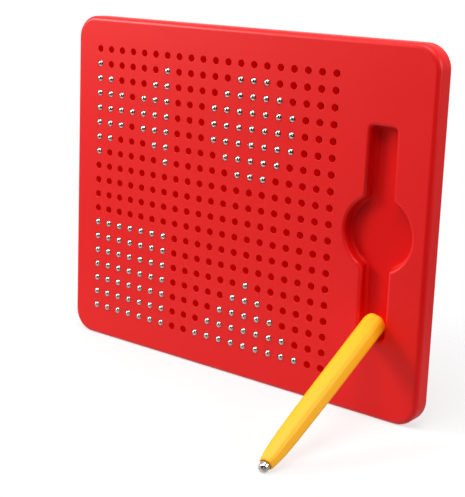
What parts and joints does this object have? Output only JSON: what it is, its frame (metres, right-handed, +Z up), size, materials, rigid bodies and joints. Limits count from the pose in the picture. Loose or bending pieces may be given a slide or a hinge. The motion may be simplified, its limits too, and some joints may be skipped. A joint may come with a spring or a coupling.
{
  "type": "magnetic drawing board",
  "caption": "Flat red drawing board with a square grid of wells whose steel beads rise to a magnetic pen, and a recessed dock for the pen beside the grid.",
  "frame": {"origin": "middle of the long bottom edge that the board stands on, halfway through the thickness", "axes": "+X along the board towards the pen dock, +Y out of the back, +Z up the board; the face with the beads looks along -Y"},
  "size_m": [0.278, 0.1199, 0.223],
  "materials": {
    "red_plastic": "satin moulded ABS",
    "yellow_plastic": "semi-gloss moulded ABS",
    "bead_steel": "polished steel",
    "screw_steel": "plated steel",
    "magnet_sheet": "matte flexible magnet sheet"
  },
  "bodies": {
    "board": {"front_panel": "red_plastic", "back_cover": "red_plastic", "bead_backing_sheet": "magnet_sheet", "cover_screw_1": "screw_steel", "cover_screw_2": "screw_steel", "cover_screw_3": "screw_steel", "cover_screw_4": "screw_steel", "cover_screw_5": "screw_steel", "cover_screw_6": "screw_steel", "cover_screw_7": "screw_steel", "cover_screw_8": "screw_steel"},
    "pen": {"pen_barrel": "yellow_plastic", "pen_tip": "bead_steel", "pen_magnet": "screw_steel"},
    "bead_r15_c14": {"bead_r15_c14": "bead_steel"},
    "bead_r16_c13": {"bead_r16_c13": "bead_steel"},
    "bead_r16_c14": {"bead_r16_c14": "bead_steel"},
    "bead_r16_c15": {"bead_r16_c15": "bead_steel"},
    "bead_r17_c12": {"bead_r17_c12": "bead_steel"},
    "bead_r17_c13": {"bead_r17_c13": "bead_steel"},
    "bead_r17_c14": {"bead_r17_c14": "bead_steel"},
    "bead_r17_c15": {"bead_r17_c15": "bead_steel"},
    "bead_r17_c16": {"bead_r17_c16": "bead_steel"},
    "bead_r18_c11": {"bead_r18_c11": "bead_steel"},
    "bead_r18_c12": {"bead_r18_c12": "bead_steel"},
    "bead_r18_c13": {"bead_r18_c13": "bead_steel"},
    "bead_r18_c14": {"bead_r18_c14": "bead_steel"},
    "bead_r18_c15": {"bead_r18_c15": "bead_steel"},
    "bead_r18_c16": {"bead_r18_c16": "bead_steel"},
    "bead_r18_c17": {"bead_r18_c17": "bead_steel"},
    "bead_r19_c10": {"bead_r19_c10": "bead_steel"},
    "bead_r19_c11": {"bead_r19_c11": "bead_steel"},
    "bead_r19_c12": {"bead_r19_c12": "bead_steel"},
    "bead_r19_c13": {"bead_r19_c13": "bead_steel"},
    "bead_r19_c14": {"bead_r19_c14": "bead_steel"},
    "bead_r19_c15": {"bead_r19_c15": "bead_steel"},
    "bead_r19_c16": {"bead_r19_c16": "bead_steel"},
    "bead_r19_c17": {"bead_r19_c17": "bead_steel"},
    "bead_r19_c18": {"bead_r19_c18": "bead_steel"}
  },
  "joints": [
    {"name": "pen_lift_out", "type": "slide", "parent": "board", "child": "pen", "axis": [0, -1, 0], "range_m": [0, 0.06]},
    {"name": "bead_r15_c14_press", "type": "slide", "parent": "board", "child": "bead_r15_c14", "axis": [0, 1, 0], "range_m": [0, 0.006]},
    {"name": "bead_r16_c13_press", "type": "slide", "parent": "board", "child": "bead_r16_c13", "axis": [0, 1, 0], "range_m": [0, 0.006]},
    {"name": "bead_r16_c14_press", "type": "slide", "parent": "board", "child": "bead_r16_c14", "axis": [0, 1, 0], "range_m": [0, 0.006]},
    {"name": "bead_r16_c15_press", "type": "slide", "parent": "board", "child": "bead_r16_c15", "axis": [0, 1, 0], "range_m": [0, 0.006]},
    {"name": "bead_r17_c12_press", "type": "slide", "parent": "board", "child": "bead_r17_c12", "axis": [0, 1, 0], "range_m": [0, 0.006]},
    {"name": "bead_r17_c13_press", "type": "slide", "parent": "board", "child": "bead_r17_c13", "axis": [0, 1, 0], "range_m": [0, 0.006]},
    {"name": "bead_r17_c14_press", "type": "slide", "parent": "board", "child": "bead_r17_c14", "axis": [0, 1, 0], "range_m": [0, 0.006]},
    {"name": "bead_r17_c15_press", "type": "slide", "parent": "board", "child": "bead_r17_c15", "axis": [0, 1, 0], "range_m": [0, 0.006]},
    {"name": "bead_r17_c16_press", "type": "slide", "parent": "board", "child": "bead_r17_c16", "axis": [0, 1, 0], "range_m": [0, 0.006]},
    {"name": "bead_r18_c11_press", "type": "slide", "parent": "board", "child": "bead_r18_c11", "axis": [0, 1, 0], "range_m": [0, 0.006]},
    {"name": "bead_r18_c12_press", "type": "slide", "parent": "board", "child": "bead_r18_c12", "axis": [0, 1, 0], "range_m": [0, 0.006]},
    {"name": "bead_r18_c13_press", "type": "slide", "parent": "board", "child": "bead_r18_c13", "axis": [0, 1, 0], "range_m": [0, 0.006]},
    {"name": "bead_r18_c14_press", "type": "slide", "parent": "board", "child": "bead_r18_c14", "axis": [0, 1, 0], "range_m": [0, 0.006]},
    {"name": "bead_r18_c15_press", "type": "slide", "parent": "board", "child": "bead_r18_c15", "axis": [0, 1, 0], "range_m": [0, 0.006]},
    {"name": "bead_r18_c16_press", "type": "slide", "parent": "board", "child": "bead_r18_c16", "axis": [0, 1, 0], "range_m": [0, 0.006]},
    {"name": "bead_r18_c17_press", "type": "slide", "parent": "board", "child": "bead_r18_c17", "axis": [0, 1, 0], "range_m": [0, 0.006]},
    {"name": "bead_r19_c10_press", "type": "slide", "parent": "board", "child": "bead_r19_c10", "axis": [0, 1, 0], "range_m": [0, 0.006]},
    {"name": "bead_r19_c11_press", "type": "slide", "parent": "board", "child": "bead_r19_c11", "axis": [0, 1, 0], "range_m": [0, 0.006]},
    {"name": "bead_r19_c12_press", "type": "slide", "parent": "board", "child": "bead_r19_c12", "axis": [0, 1, 0], "range_m": [0, 0.006]},
    {"name": "bead_r19_c13_press", "type": "slide", "parent": "board", "child": "bead_r19_c13", "axis": [0, 1, 0], "range_m": [0, 0.006]},
    {"name": "bead_r19_c14_press", "type": "slide", "parent": "board", "child": "bead_r19_c14", "axis": [0, 1, 0], "range_m": [0, 0.006]},
    {"name": "bead_r19_c15_press", "type": "slide", "parent": "board", "child": "bead_r19_c15", "axis": [0, 1, 0], "range_m": [0, 0.006]},
    {"name": "bead_r19_c16_press", "type": "slide", "parent": "board", "child": "bead_r19_c16", "axis": [0, 1, 0], "range_m": [0, 0.006]},
    {"name": "bead_r19_c17_press", "type": "slide", "parent": "board", "child": "bead_r19_c17", "axis": [0, 1, 0], "range_m": [0, 0.006]},
    {"name": "bead_r19_c18_press", "type": "slide", "parent": "board", "child": "bead_r19_c18", "axis": [0, 1, 0], "range_m": [0, 0.006]}
  ]
}
